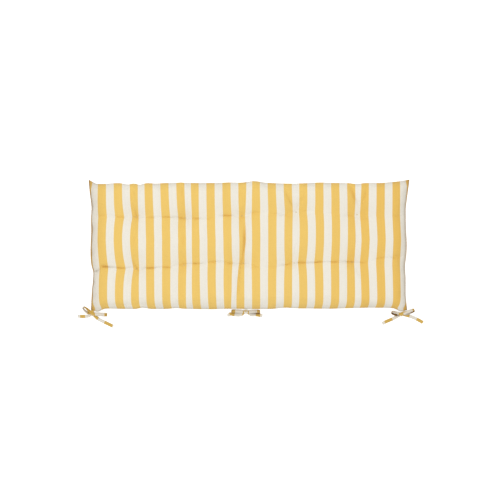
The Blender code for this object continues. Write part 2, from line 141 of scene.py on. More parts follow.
# thin pleats pressed into the face: x, y and depth (mm) of the points along each
PLEATS = [
    [(-582, -98, 3.4), (-571, -98, 3.8), (-562, -93, 2.2), (-556, -87, 1.0)],
    [(-556, -78, 1.5), (-548, -78, 3.2), (-533, -81, 4.2), (-518, -81, 2.6), (-503, -83, 1.5),
     (-492, -84, 2.4), (-477, -86, 2.6), (-462, -87, 2.2), (-447, -84, 1.6), (-428, -83, 1.8)],
    [(-440, -47, 1.2), (-429, -74, 2.2), (-420, -85, 2.4), (-410, -100, 1.6)],
    [(-416, -104, 1.2), (-410, -134, 0.8)],
    [(-409, -92, 1.2), (-398, -88, 1.2), (-387, -85, 1.8), (-368, -86, 2.8), (-353, -85, 2.6),
     (-338, -82, 1.3), (-323, -82, 1.2), (-308, -82, 1.9), (-293, -84, 1.2), (-282, -84, 0.6)],
    [(-267, -74, 1.2), (-252, -73, 1.7), (-241, -69, 1.6), (-218, -69, 1.0), (-203, -69, 2.0),
     (-188, -69, 2.0), (-173, -68, 1.3), (-158, -68, 1.0)],
    [(-154, -63, 1.8), (-136, -63, 2.0), (-121, -61, 1.2), (-98, -61, 0.8)],
    [(-94, -69, 1.4), (-72, -69, 1.6), (-49, -68, 0.8), (-31, -68, 1.2), (-12, -69, 1.5), (-1, -68, 0.5)],
    [(-91, -30, 1.2), (-68, -30, 0.9)],
    [(22, -87, 0.9), (44, -87, 0.5)],
    [(67, -85, 0.6), (89, -83, 0.6), (101, -81, 0.6)],
    [(108, -75, 1.2), (123, -74, 0.8), (142, -73, 1.8), (157, -68, 1.5), (168, -67, 0.9)],
    [(176, -65, 0.8), (187, -65, 3.0), (202, -66, 2.4), (217, -66, 1.6), (239, -65, 1.9),
     (254, -64, 2.2), (269, -62, 2.3), (284, -62, 1.2), (299, -63, 1.1), (314, -63, 1.9),
     (329, -63, 1.6), (344, -62, 1.0), (359, -62, 1.6), (371, -63, 2.5), (386, -62, 2.4),
     (401, -63, 1.2), (416, -65, 2.0), (434, -66, 1.6), (449, -65, 0.7)],
    [(419, -45, 1.2), (442, -46, 0.8)],
    [(476, -52, 1.8), (491, -48, 1.2), (513, -44, 1.0), (532, -44, 0.9), (539, -48, 1.8),
     (554, -47, 1.2), (566, -44, 1.2), (581, -39, 1.2)],
    [(476, -69, 2.2), (491, -69, 1.2), (506, -68, 1.2), (517, -67, 0.6)],
    [(577, -58, 1.2), (588, -55, 2.2)],
    [(-552, 30, 1.0), (-529, 27, 0.7)],
    [(-544, 112, 1.0), (-526, 111, 0.6), (-507, 113, 0.7), (-492, 107, 0.8), (-473, 105, 1.0),
     (-458, 105, 0.5)],
    [(-482, 138, 0.9), (-471, 123, 1.2)],
    [(-435, 151, 1.2), (-420, 108, 2.2), (-414, 91, 1.6)],
    [(-417, 80, 1.2), (-413, 50, 0.8)],
    [(-439, 105, 1.0), (-421, 107, 1.8), (-409, 105, 1.0), (-387, 104, 0.9), (-364, 104, 1.1),
     (-349, 105, 0.6)],
    [(-334, 106, 1.0), (-316, 106, 1.7), (-293, 106, 1.4), (-274, 105, 1.3), (-259, 103, 2.4),
     (-248, 101, 2.2), (-237, 99, 1.7), (-226, 101, 0.8), (-211, 101, 1.2), (-192, 100, 1.7),
     (-177, 100, 0.6), (-151, 99, 0.7), (-128, 99, 0.3)],
    [(-267, 88, 1.3), (-237, 87, 1.0)],
    [(-109, 112, 0.6), (-94, 112, 2.2), (-72, 111, 2.2), (-61, 112, 1.2), (-49, 109, 0.7),
     (-31, 106, 1.6), (-8, 107, 0.9)],
    [(-61, 93, 0.6), (-31, 90, 0.5)],
    [(-9, 148, 1.2), (-17, 108, 1.8)],
    [(11, 120, 0.6), (26, 122, 1.0), (37, 123, 0.6)],
    [(104, 118, 0.6), (127, 113, 0.7), (142, 112, 1.3), (157, 112, 0.7)],
    [(149, 117, 0.6), (164, 120, 0.8), (176, 123, 1.2)],
    [(138, 204, 2.0), (143, 189, 2.2), (158, 159, 2.2), (167, 142, 1.8)],
    [(179, 112, 0.8), (198, 123, 0.9), (213, 131, 0.8), (228, 131, 0.4)],
    [(199, 170, 1.4), (195, 140, 1.2)],
    [(193, 118, 1.0), (215, 114, 0.8)],
    [(380, 226, 1.6), (386, 208, 2.0), (394, 185, 2.2), (405, 151, 1.2)],
    [(356, 112, 0.8), (371, 111, 1.5), (389, 111, 1.0), (404, 105, 1.0), (419, 101, 1.2),
     (442, 100, 1.0), (453, 102, 0.4)],
    [(416, 86, 1.0), (434, 86, 0.5)],
    [(443, 211, 2.0), (436, 185, 2.0), (422, 144, 1.8)],
    [(476, 105, 0.8), (487, 105, 0.5)],
    [(536, 82, 1.0), (547, 82, 0.5)],
    [(566, 111, 1.0), (581, 105, 0.9)],
    [(-31, 102, 0.8), (-31, 60, 0.9), (-31, 5, 0.6)],
    [(-548, -223, 1.0), (-530, -225, 1.5), (-505, -225, 1.1), (-478, -224, 1.6), (-452, -225, 1.3),
     (-425, -223, 1.0), (-405, -221, 1.5), (-380, -224, 1.5), (-352, -224, 1.1), (-330, -222, 0.5)],
    [(-14, 92, 1.1), (-14, 63, 1.6), (-16, 33, 2.1), (-16, 3, 2.5), (-20, -27, 2.6), (-22, -49, 2.6),
     (-29, -72, 2.3), (-33, -102, 2.1), (-37, -132, 2.0), (-38, -162, 1.8), (-38, -192, 1.3)],
]
PLEAT_HALF = 2.3 * MM
PLEAT_DEEP = 2.4
PLEAT_TAPER = 6 * MM  # a pleat runs out over this length at both ends
GATHERS = [(11.3, 0.45, 0.4), (17.9, 0.55, 2.1), (7.7, 0.25, 4.4)]  # length, height (mm), phase
GATHER_REACH = 11 * MM  # how far the seam's small gathers run into the panel
GATHER_SHIFT = 370 * MM  # so that the front and back seams aren't gathered alike
SEAM_WELT = 2.2 * MM  # pressed lip beside the seam
SEAM_GROOVE = 0.8 * MM  # depth of the sewn line behind it
GROOVE_PLACE = 2.2 * SEAM_WELT

# ---- the striped cloth ----
STRIPE_PITCH = 59.7 * MM
YELLOW_SHARE = 0.516  # share of the pitch that is yellow
STRIPE_EDGE = 0.008  # half of a stripe's soft edge, as a share of the pitch
EDGE_WANDER = 1.2 * MM
THREAD_PITCH = 0.9 * MM
DASH_END = (0.34, 0.44)  # a stitch ends here, as a share of its length from its middle
# how the cloth lies across the panel, read at five heights: its sideways drift, and for each
# column of tufts the place of its fold and the width of cloth that the fold takes up (mm)
CLOTH_LEVELS = (-225, -75, 20, 110, 215)
CLOTH_DRIFT = (6, 3, 3, 1, 2)
COLUMN_FOLDS = [
    ((-397, -410, -416, -410, -402), (1, 0, -4, 0, 4)),
    ((-231, -218, -221, -212, -222), (7, 10, 9, 8, 6)),
    ((-63, -37, -9, -11, 7), (14, 10, 10, 6, 9)),
    ((176, 200, 199, 178, 174), (2, 0, -1, -2, 0)),
    ((410, 408, 411, 400, 419), (5, 9, 8, 13, 9)),
]
FOLD_REACH = 9 * MM
# how far each tuft draws the stripes on its left and on its right towards itself (mm)
BACK_DRAW = [(18, -1), (8, 0), (6, 7), (7, 10), (-2, 3)]
FRONT_DRAW = [(20, 1), (4, -2), (8, 5), (9, 10), (0, 6)]
DRAW_ALONG = 110 * MM
DRAW_ACROSS = 48 * MM
DRAW_CENTRE = 20 * MM
DRAW_BLUNT = 6 * MM
CLOTH_EASE = 0.5  # share of the roll's length that the cloth needs; the seam takes up the rest
ROLL_STEPS = 125
# the stripes close in at the front seam: amount on the left, on the right, reach
FRONT_GATHER = (10 * MM, 12.5 * MM, 12 * MM)
# the stripes close in at the corners too: side of the length, of the width, amount, reach (mm)
CORNER_GATHERS = [(-1, 1, 12, 18), (1, 1, 12, 18), (-1, -1, 7, 22), (1, -1, 11, 24)]
# and loosely along the end seams: side of the length, y, amount, half width (mm)
END_GATHERS = [(-1, 156, -4, 45), (-1, 54, 4, 30), (-1, -70, 4, 38)]
END_GATHER_REACH = 12 * MM
LAST_STRIPE_SLIP = (567 * MM, 2.2 * MM, 18 * MM)  # the last stripe is drawn in: x, amount, half width

# ---- ties ----
TAPE_WIDTH = 12.5 * MM
TAPE_THICKNESS = 1.6 * MM
TAPE_CUP = (0.35 * MM, 17 * MM)  # the tape is cupped along its length: depth, length
SECTION_BLUNT = (0.5, 0.7)  # how square the section is at its edges and on its faces
STRANDS_APART = 0.9 * MM  # each strand leaves the seam this far above or below its middle
KNOT_LIFT = 6 * MM
LAYER_LIFT = 1.3 * MM
TAIL_ROOT = 4 * MM
LEAD_FALL = (4 * MM, 1 * MM)
TWIST_FROM_KNOT = 1.6
TWIST_SINK = 0.2 * MM
# share of the way out, height (mm), share of the lower layer's sideways shift
LOOP_SECTION = [
    (0.00, 7.0, 0.0),
    (0.35, 9.3, 0.0),
    (0.72, 9.3, 0.0),
    (0.95, 7.8, 0.2),
    (1.00, 5.3, 0.5),
    (0.95, 2.5, 0.8),
    (0.70, 1.3, 1.0),
    (0.35, 1.3, 0.8),
    (0.00, 4.5, 0.0),
]
# as in the part's source, the middle tie's tails within 2 mm: the knot, the place on the panel's
# edge, then for each of the two strands its loop's fold, the fold's twist in degrees, the lower
# layer's shift (mm) and its tail; then where the loop turns yellow, white, yellow and so on (mm
# from the knot), the same for the tail (mm from the free end), and how much painted shade
# darkens the loop inside, at the knot and at its fold
TIES = {
    "tie_left": dict(
        knot=(-587, -257),
        sewn_at=(-583, -234),
        knot_cloth=0,
        strands=[
            ((-618, -228), 64, 11, [(-566, -276), (-545, -287), (-524, -297), (-509, -305)],
             (-40, 41, 76, 100), (4, 37, 64, 95), (0, 0)),
            ((-532, -260), -14, -1.5, [(-600, -265), (-622, -267), (-643, -266)],
             (-17, 10, 46, 72), (10, 28), (0.1, 0.8)),
        ],
    ),
    "tie_middle": dict(
        knot=(-10, -250),
        sewn_at=(-10, -234),
        knot_cloth=30,
        strands=[
            ((-64, -245), 14, 7, [(10, -261), (30, -261), (52, -265)],
             (-18, 12, 41, 72), (9, 25), (0, 0.3)),
            ((42, -246), -24, -7, [(-30, -261), (-52, -261), (-70, -258), (-78, -266)],
             (-18, 12, 42, 72), (10, 28), (0.1, 1)),
        ],
    ),
    "tie_right": dict(
        knot=(573, -259),
        sewn_at=(580, -234),
        knot_cloth=0,
        strands=[
            ((538, -247), 58, 9, [(595, -263), (616, -270), (636, -279), (655, -290)],
             (-18, 11, 38, 68), (-4, 27, 56, 86), (0.6, 0.8)),
            ((621, -240), -34, -6, [(556, -269), (535, -279), (516, -287), (502, -294)],
             (-20, 9, 46, 70), (11, 42), (0.1, 1)),
        ],
    ),
}
STRAND_STEPS = 6  # rings in each stretch of a strand
KNOT_PINCH = 0.62  # share of a tape's width that is left inside the knot
KNOT_CRUSH = 0.5  # and how much thicker the tape is there
PINCH_REACH = 9 * MM
SECTION_SIDES = 14
KNOT_SIZE = (17 * MM, 15 * MM, 11.4 * MM)
KNOT_RINGS = 18
KNOT_SIDES = 36
KNOT_ROUND = 2.6
KNOT_FULL = 0.95  # share of its length that it fills
KNOT_END = 0.3  # size of its ends, as a share of its middle
KNOT_STRIPE = 2 * MM  # cloth across its stripe, from its middle to an end
LONG_FOLD = 0.045  # height of its folds along it and round it, as a share of its size
ROUND_FOLD = 0.03

# ---- tuft stitches ----
THREAD_RADIUS = 0.45 * MM
STITCH_POINTS = 9  # along each turn of thread
STITCH_HALF = 3.6 * MM  # half of a turn's length
STITCH_PITCH = 1.0 * MM
STITCH_SLANT = 0.5 * MM
STITCH_SINK = 0.5 * MM  # how far a turn's ends go into the cloth
STITCH_LOWEST = 0.6 * MM
PIT_REACH = 20 * MM

# ---- colours, finishes and relief ----
YELLOW = (0.773, 0.522, 0.138, 1.0)
# the yellow painted darker, as shade, towards the right end
SHADED_YELLOW = (0.752, 0.480, 0.112, 1.0)
RIGHT_SHADE_FROM, RIGHT_SHADE_TO = 0.15, 0.6  # painted shade: the yellow is painted darker towards the right end, between these places across the cloth (m)
OFF_WHITE = (0.767, 0.739, 0.661, 1.0)
# the ties' tape is the case's striped cloth, painted darker and warmer as shade
SHADED_TAPE_YELLOW = (0.59, 0.385, 0.09, 1.0)
SHADED_TAPE_WHITE = (0.71, 0.67, 0.59, 1.0)
THREAD_WHITE = (0.80, 0.77, 0.70, 1.0)
TUFT_THREAD = (0.70, 0.55, 0.28, 1.0)
# colour of the painted shade beside the case's seam, towards its ends and at its corner tips
SEAM_SHADE_COLOUR = (0.5, 0.38, 0.26, 1.0)
# colour of the painted shade inside the ties' loops and on the outsides of their folds
LOOP_SHADE_COLOUR = (0.28, 0.14, 0.08, 1.0)
# painted shade on the case beside its seam, towards its ends and at its corner tips: distance it goes by,
# reach, amount
EDGE_SHADES = [
    ("to_left", 7 * MM, 0.85),
    ("to_left", 75 * MM, 0.16),
    ("to_right", 7 * MM, 0.6),
    ("to_right", 75 * MM, 0.1),
    ("to_side", 5 * MM, 0.2),
    ("to_tip", 25 * MM, 0.5),
]
FOLD_DARK = 0.4  # painted shade: a loop's outside is painted this much darker where it turns down at its fold
YARN_RELIEF = 0.22 * MM
RUMPLE_RELIEF = 1.5 * MM
STITCH_RELIEF = 0.4 * MM
PLY_RELIEF = 0.15 * MM
COTTON_FINISH = {
    "Metallic": 0.0, "Specular IOR Level": 0.2, "Sheen Weight": 0.06, "Sheen Roughness": 0.6,
}
THREAD_FINISH = {"Specular IOR Level": 0.3, "Sheen Weight": 0.2}

# ---- studio ----
FLOOR_GAP = 0.3 * MM
FLOOR_REACH = 30.0
FLOOR_TONE = 0.7
PAPER_FINISH = {
    "Base Color": (FLOOR_TONE, FLOOR_TONE, FLOOR_TONE, 1.0), "Roughness": 0.9,
    "Specular IOR Level": 0.1, "Emission Color": (1.0, 1.0, 1.0, 1.0),
}
FLOOR_GLOW = 0.7  # keeps the paper white in the picture, without lighting the cushion from below
ROOM_LIGHT = (0.865, 0.98)  # at the horizon, overhead
HORIZON_TINT = (1.035, 1.0, 0.94, 1.0)
OVERHEAD_TINT = (1.0, 1.0, 1.0, 1.0)
SEEN_ROOM = 1.05  # brightness of the room that the camera itself sees
SOFTBOX_PLACE = (-0.45, 0.8, 2.9)
SOFTBOX_SIZE = 1.6
SOFTBOX_POWER = 15.4


# ---- helpers for objects and meshes ----


def add_object(name, data):
    """A new object in the scene."""
    piece = bpy.data.objects.new(name, data)
    bpy.context.scene.collection.objects.link(piece)
    return piece


def read_all(items, field, width=1, kind=np.float32):
    """One field of all of a mesh's items, as one array."""
    found = np.empty(len(items) * width, kind)
    items.foreach_get(field, found)
    return found


def places_of(data):
    return read_all(data.vertices, "co", 3).reshape(-1, 3).astype(float)


def flat_places(data):
    """x and y of every point on the flat panel that it was made from."""
    return [read_all(data.attributes[name].data, "value").astype(float) for name in ("flat_x", "flat_y")]


def write_values(data, name, values, kind="FLOAT", domain="POINT"):
    """Keeps a value for each of the mesh's points, edges or faces."""
    numbers = np.asarray(values, np.int32 if kind == "INT" else np.float32)
    data.attributes.new(name, kind, domain).data.foreach_set("value", numbers)


def move_points(data, places):
    """Moves the mesh's points to their new places, none of them below the floor."""
    places[:, 2] = np.maximum(places[:, 2], 0.0)
    data.vertices.foreach_set("co", places.astype(np.float32).ravel())
    data.update()


# ---- camera ----


def set_camera():
    """Looks straight down on the cushion, from far away, as the photograph does."""
    data = bpy.data.cameras.new("camera")
    data.sensor_width = SENSOR
    data.lens = SENSOR * (CAMERA_HEIGHT - SEAM_HEIGHT) / VIEW_WIDTH
    data.clip_end = 100
    camera = add_object("camera", data)
    camera.location = (*CENTRE, CAMERA_HEIGHT)
    bpy.context.scene.camera = camera


# ---- shape of the panels ----


def bump(distance, reach):
    return np.exp(-((distance / reach) ** 2))


def tent(distance, reach):
    return np.exp(-np.abs(distance) / reach)


def tuft_gap(x, y, tuft):
    return np.hypot(x - tuft[0] * MM, y - tuft[1] * MM)


def crowded_lines(stops, count, crowding):
    """Grid lines through all the stops, count steps in each stretch, crowded at the stops."""
    even = np.arange(count + 1) / count
    share = (1 - crowding) * even + crowding * (1 - np.cos(math.pi * even)) / 2
    lines = [stops[0]]
    for low, high in zip(stops, stops[1:]):
        lines += list(low + (high - low) * share[1:])
    return np.array(lines)


def line_place(line, x):
    """y of a sewn crease at x and the share it takes, straight from point to point."""
    along, across, taken = np.array(line).T
    return np.interp(x, along * MM, across * MM), np.interp(x, along * MM, taken)


def drawn_in(table, along):
    return sum(depth * MM * bump(along - place * MM, half * MM) for place, depth, half in table)


def face_place(x, y):
    """Where a point of the flat panel comes to lie: sides drawn in, corner tips let out."""
    right = (HALF_LENGTH - x) / SIDE_REACH
    left = (HALF_LENGTH + x) / SIDE_REACH
    back = (HALF_WIDTH - y) / SIDE_REACH
    front = (HALF_WIDTH + y) / SIDE_REACH
    move_x = drawn_in(LEFT_SIDE, y) * np.exp(-left) - drawn_in(RIGHT_SIDE, y) * np.exp(-right)
    move_y = drawn_in(FRONT_SIDE + FRONT_SLACK, x) * np.exp(-front)
    move_y = move_y - drawn_in(BACK_SIDE, x) * np.exp(-back)
    for sign_x, sign_y, out_x, reach_x, out_y, reach_y in CORNERS:
        from_tip = HALF_LENGTH - sign_x * x + HALF_WIDTH - sign_y * y
        near_x = np.maximum(0, 1 - from_tip / (reach_x * MM)) ** CORNER_CURVE
        near_y = np.maximum(0, 1 - from_tip / (reach_y * MM)) ** CORNER_CURVE
        move_x = move_x + sign_x * out_x * MM * near_x
        move_y = move_y + sign_y * out_y * MM * near_y
    return x + move_x, y + move_y


def rolled(distance):
    """Share of the full crown at this distance from the seam."""
    left = np.clip(1 - distance / ROLL, 0, 1)
    return (1 - left**ROLL_ROUND) ** ROLL_STEEP


def line_gap(x, y, start, end):
    """Distance of points from a straight line, and how far along it they are (0 to 1)."""
    run = np.array(end) - np.array(start)
    share = np.clip(((x - start[0]) * run[0] + (y - start[1]) * run[1]) / (run @ run), 0, 1)
    return np.hypot(x - start[0] - share * run[0], y - start[1] - share * run[1]), share


def fullness(x, y):
    """Share of the crown left at a point: seam, tufts, valleys and creases taken away."""
    full = rolled(HALF_LENGTH - np.abs(x)) * rolled(HALF_WIDTH - np.abs(y))
    for line in (BACK_LINE, FRONT_LINE):
        line_y, taken = line_place(line, x)
        full = full * (1 - ROW_VALLEY * bump(y - line_y, VALLEY_REACH))
        full = full * (1 - taken * tent(y - line_y, CREASE_HALF))
    for tuft in TUFTS:
        full = full * (1 - TUFT_PULL * tent(tuft_gap(x, y, tuft), TUFT_REACH))
    for (back_x, back_y), (front_x, front_y) in zip(BACK_ROW, FRONT_ROW):
        share = np.clip((y - front_y * MM) / ((back_y - front_y) * MM), 0, 1)
        column_x = (front_x + (back_x - front_x) * share) * MM
        full = full * (1 - COLUMN_VALLEY * bump(x - column_x, VALLEY_REACH))
    for x0, y0, x1, y1, taken, half in CREASES:
        gap, _ = line_gap(x, y, (x0 * MM, y0 * MM), (x1 * MM, y1 * MM))
        full = full * (1 - taken * tent(gap, half * MM))
    return full


def middle_height(x, y):
    """Height of the layer that the seam lies in: the corner tips hang down."""
    gap = np.hypot(HALF_LENGTH - np.abs(x), HALF_WIDTH - np.abs(y))
    return SEAM_HEIGHT - CORNER_DROOP * np.exp(-gap / DROOP_REACH)


# ---- the case ----


def flat_grid():
    """The flat panel's grid, with a line through every row and column of tufts."""
    front_lines, back_lines = [
        crowded_lines([-HALF_LENGTH, *[x * MM for x, _ in row], HALF_LENGTH], CELL_STEPS_X, CROWDING_X)
        for row in (FRONT_ROW, BACK_ROW)
    ]
    rows = 3 * CELL_STEPS_Y + 1
    towards_back = np.clip((np.arange(rows) - CELL_STEPS_Y) / CELL_STEPS_Y, 0, 1)
    x = front_lines[:, None] + (back_lines - front_lines)[:, None] * towards_back[None, :]
    y = np.zeros_like(x)
    for column in range(len(front_lines)):
        front, _ = line_place(FRONT_LINE, x[column, CELL_STEPS_Y])
        back, _ = line_place(BACK_LINE, x[column, 2 * CELL_STEPS_Y])
        y[column] = crowded_lines([-HALF_WIDTH, front, back, HALF_WIDTH], CELL_STEPS_Y, CROWDING_Y)
    return x, y


def grid_quads(ids, upper):
    corners = [ids[:-1, :-1], ids[1:, :-1], ids[1:, 1:], ids[:-1, 1:]]
    quads = np.stack([corner.ravel() for corner in corners], axis=1)
    return quads if upper else quads[:, ::-1]


def sewn_case():
    """Top and bottom panel as one closed mesh that shares the seam's points."""
    x, y = flat_grid()
    full = fullness(x, y) * SLACK_FILL
    middle = middle_height(x, y)
    seen_x, seen_y = face_place(x, y)
    top = np.stack([seen_x, seen_y, middle + CROWN * full], axis=-1)
    below = np.stack([seen_x, seen_y, np.maximum(0.0, middle - BELLY * full)], axis=-1)
    ids = np.arange(x.size).reshape(x.shape)
    inner = np.zeros(x.shape, bool)
    inner[1:-1, 1:-1] = True
    below_ids = ids.copy()
    below_ids[inner] = x.size + np.arange(inner.sum())
    places = np.concatenate([top.reshape(-1, 3), below[inner]])
    quads = np.concatenate([grid_quads(ids, True), grid_quads(below_ids, False)])
    data = bpy.data.meshes.new("case")
    data.from_pydata(places.tolist(), [], quads.tolist())
    for name, flat in (("flat_x", x), ("flat_y", y)):
        write_values(data, name, np.concatenate([flat.ravel(), flat[inner]]))
    write_values(data, "underside", np.repeat([0, 1], len(quads) // 2), "INT", "FACE")
    seam = np.zeros(len(places), bool)
    seam[: x.size] = ~inner.ravel()
    return data, seam


def held_points(data, seam):
    """The seam, the tufts' stitches and what lies on the surface stay put while the case fills."""
    x, y = flat_places(data)
    held = seam | (places_of(data)[:, 2] < LIES_BELOW)
    for tuft in TUFTS:
        held |= tuft_gap(x, y, tuft) < TUFT_HOLD
    return held


def fill_case(case, seam):
    """The filling's pressure rounds the pillows and lets the cloth pucker round what is held."""
    before = places_of(case.data)
    group = case.vertex_groups.new(name="held")
    group.add([int(i) for i in np.flatnonzero(held_points(case.data, seam))], 1.0, "REPLACE")
    cloth = case.modifiers.new("filling", "CLOTH")
    for name, value in CASE_CLOTH.items():
        setattr(cloth.settings, name, value)
    cloth.settings.vertex_group_mass = "held"
    cloth.settings.use_pressure = True
    cloth.settings.effector_weights.gravity = 0
    cloth.collision_settings.use_collision = False
    cloth.point_cache.frame_start = 1
    cloth.point_cache.frame_end = FILL_FRAMES
    scene = bpy.context.scene
    for step in range(1, FILL_FRAMES + 1):
        scene.frame_set(step)
    filled = case.evaluated_get(bpy.context.evaluated_depsgraph_get())
    moved = places_of(filled.data) - before
    case.modifiers.remove(cloth)
    case.vertex_groups.remove(group)
    scene.frame_set(1)
    length = np.linalg.norm(moved, axis=1, keepdims=True)
    capped = moved * SWELL_CAP * np.tanh(length / SWELL_CAP) / np.maximum(length, 1e-9)
    move_points(case.data, before + capped)


def keep_sharp(data, seam):
    """The seam and its four corners stay sharp when the cloth is smoothed."""
    ends = read_all(data.edges, "vertices", 2, np.int32)
    write_values(data, "crease_edge", seam[ends.reshape(-1, 2)].all(axis=1), domain="EDGE")
    x, y = flat_places(data)
    corner = (np.abs(x) > HALF_LENGTH - MM) & (np.abs(y) > HALF_WIDTH - MM)
    write_values(data, "crease_vert", corner)


def subdivided(case):
    """The case once more, with every face split in four and smoothed."""
    case.modifiers.new("finer", "SUBSURF").levels = 1
    finer = bpy.data.meshes.new_from_object(case.evaluated_get(bpy.context.evaluated_depsgraph_get()))
    case.modifiers.clear()
    case.data = finer


def panel_points(data):
    """Which points lie on the top panel alone, and which on the seam."""
    under = read_all(data.attributes["underside"].data, "value", kind=np.int32)
    corners = read_all(data.loops, "vertex_index", kind=np.int32)
    loop_under = np.repeat(under, read_all(data.polygons, "loop_total", kind=np.int32))
    touches = np.zeros((2, len(data.vertices)), bool)
    for panel in (0, 1):
        touches[panel, corners[loop_under == panel]] = True
    return touches[0] & ~touches[1], touches[0] & touches[1]


def as_seen(places):
    """Where points appear to lie on the level of the seam, looked at from the camera."""
    nearer = (CAMERA_HEIGHT - SEAM_HEIGHT) / (CAMERA_HEIGHT - places[:, 2])
    return [middle + (places[:, axis] - middle) * nearer for axis, middle in enumerate(CENTRE)]


def pleat_depth(x, y):
    """Depth of the thin pleats at each point of the face."""
    total = np.zeros_like(x)
    for line in PLEATS:
        points = np.array(line) * MM * (1, 1, PLEAT_DEEP)
        for end, step in ((0, 1), (-1, -2)):
            run = points[end, :2] - points[step, :2]
            points[end, :2] += run / np.linalg.norm(run) * PLEAT_TAPER
            points[end, 2] = 0
        for start, stop in zip(points, points[1:]):
            gap, share = line_gap(x, y, start[:2], stop[:2])
            depth = start[2] + (stop[2] - start[2]) * share
            total = np.maximum(total, depth * tent(gap, PLEAT_HALF))
    return total


def press_details(data):
    """Thin pleats in the face, small gathers along the seam and its sewn line."""
    places = places_of(data)
    x, y = flat_places(data)
    upper, seam = panel_points(data)
    places[:, 2] -= np.where(upper, pleat_depth(*as_seen(places)), 0)
    to_end, to_side = HALF_LENGTH - np.abs(x), HALF_WIDTH - np.abs(y)
    to_seam = np.minimum(to_end, to_side)
    along = np.where(to_end < to_side, y, x + GATHER_SHIFT * np.sign(y))
    wave = sum(height * MM * np.sin(2 * math.pi * along / (length * MM) + phase)
               for length, height, phase in GATHERS)
    places[:, 2] += np.where(seam, 0, wave * np.exp(-to_seam / GATHER_REACH))
    side = np.where(upper, -1.0, 1.0)
    groove = SEAM_GROOVE * bump(to_seam - GROOVE_PLACE, SEAM_WELT)
    places[:, 2] += np.where(seam, 0, side * groove)
    move_points(data, places)


# ---- how the cloth lies on the case ----


def cloth_across(x, y):
    """Place across the flat cloth, and so across its stripes, of a point seen at x, y."""
    levels = [level * MM for level in CLOTH_LEVELS]
    across = x - np.interp(y, levels, CLOTH_DRIFT) * MM
    left, right, reach = FRONT_GATHER
    gathered = np.where(x > 0, right, left) * x / HALF_LENGTH
    across += gathered * np.exp(-np.maximum(y + HALF_WIDTH, 0) / reach)
    slip_x, slip, half = LAST_STRIPE_SLIP
    across += slip * bump(x - slip_x, half)
    for places, taken in COLUMN_FOLDS:
        fold_x = np.interp(y, levels, places) * MM
        across += np.interp(y, levels, taken) * MM / 2 * np.tanh((x - fold_x) / FOLD_REACH)
    for row, draws in ((BACK_ROW, BACK_DRAW), (FRONT_ROW, FRONT_DRAW)):
        for (tuft_x, tuft_y), (left, right) in zip(row, draws):
            gap_x, gap_y = x - tuft_x * MM, y - tuft_y * MM
            drawn = (left - right) / 2 - (left + right) / 2 * np.tanh(gap_x / DRAW_CENTRE)
            near = np.exp(-np.abs(gap_x) / DRAW_ALONG - np.hypot(gap_y, DRAW_BLUNT) / DRAW_ACROSS)
            across -= drawn * MM * near
    return across


def roll_length(distance):
    """Length of cloth that rolling down to the seam takes beyond the panel seen from above."""
    steps = np.linspace(0, ROLL, ROLL_STEPS)
    rise = np.diff(CROWN * rolled(steps))
    extra = np.hypot(np.diff(steps), rise) - np.diff(steps)
    left = np.concatenate([[extra.sum()], extra.sum() - np.cumsum(extra)])
    return CLOTH_EASE * np.interp(distance, steps, left)


def lay_cloth(data):
    """UV map "cloth": metres across and along the flat cloth, so stripes and weave follow it."""
    places = places_of(data)
    x, y = flat_places(data)
    across = cloth_across(*as_seen(places))
    across += np.sign(x) * roll_length(HALF_LENGTH - np.abs(x))
    for sign_x, sign_y, amount, reach in CORNER_GATHERS:
        to_tip = np.hypot(HALF_LENGTH - sign_x * x, HALF_WIDTH - sign_y * y)
        across += sign_x * amount * MM * bump(to_tip, reach * MM)
    for sign_x, place, amount, half in END_GATHERS:
        near = np.exp(-(HALF_LENGTH - sign_x * x) / END_GATHER_REACH) * bump(y - place * MM, half * MM)
        across += sign_x * amount * MM * near
    along = places[:, 1] + np.sign(y) * roll_length(HALF_WIDTH - np.abs(y))
    corners = read_all(data.loops, "vertex_index", kind=np.int32)
    uv = np.stack([across[corners], along[corners]], axis=1)
    layer = data.uv_layers.new(name="cloth")
    layer.data.foreach_set("uv", uv.astype(np.float32).ravel())


def mark_edge(data):
    """How far each point of the flat panels lies from the seam, for the painted shade beside it."""
    x, y = flat_places(data)
    to_side = HALF_WIDTH - np.abs(y)
    write_values(data, "to_left", HALF_LENGTH + x)
    write_values(data, "to_right", HALF_LENGTH - x)
    write_values(data, "to_side", to_side)
    write_values(data, "to_tip", np.hypot(HALF_LENGTH - np.abs(x), to_side))


def make_case():
    data, seam = sewn_case()
    case = add_object("case", data)
    fill_case(case, seam)
    keep_sharp(data, seam)
    subdivided(case)
    press_details(case.data)
    lay_cloth(case.data)
    mark_edge(case.data)
    case.data.shade_smooth()
    case.data.materials.append(case_cloth())
    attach(case, "root")
    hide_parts("cushion")
    return case


# ---- ties ----


def smooth_path(points, steps):
    """Points on a smooth curve through the given ones, steps to each stretch."""
    ends = [points[0]] + points + [points[-1]]
    path = []
    for a, b, c, d in zip(ends, ends[1:], ends[2:], ends[3:]):
        for step in range(steps):
            t = step / steps
            path.append(
                0.5 * (2 * b + (c - a) * t + (2 * a - 5 * b + 4 * c - d) * t * t
                       + (3 * b - a - 3 * c + d) * t**3)
            )
    return path + [points[-1]]


def tape_section():
    """A flat tape's rounded outline: share of its half width, share of its half thickness."""
    blunt_wide, blunt_thick = SECTION_BLUNT
    for side in range(SECTION_SIDES):
        angle = 2 * math.pi * (side + 0.5) / SECTION_SIDES
        wide, thick = math.cos(angle), math.sin(angle)
        yield math.copysign(abs(wide) ** blunt_wide, wide), math.copysign(abs(thick) ** blunt_thick, thick)


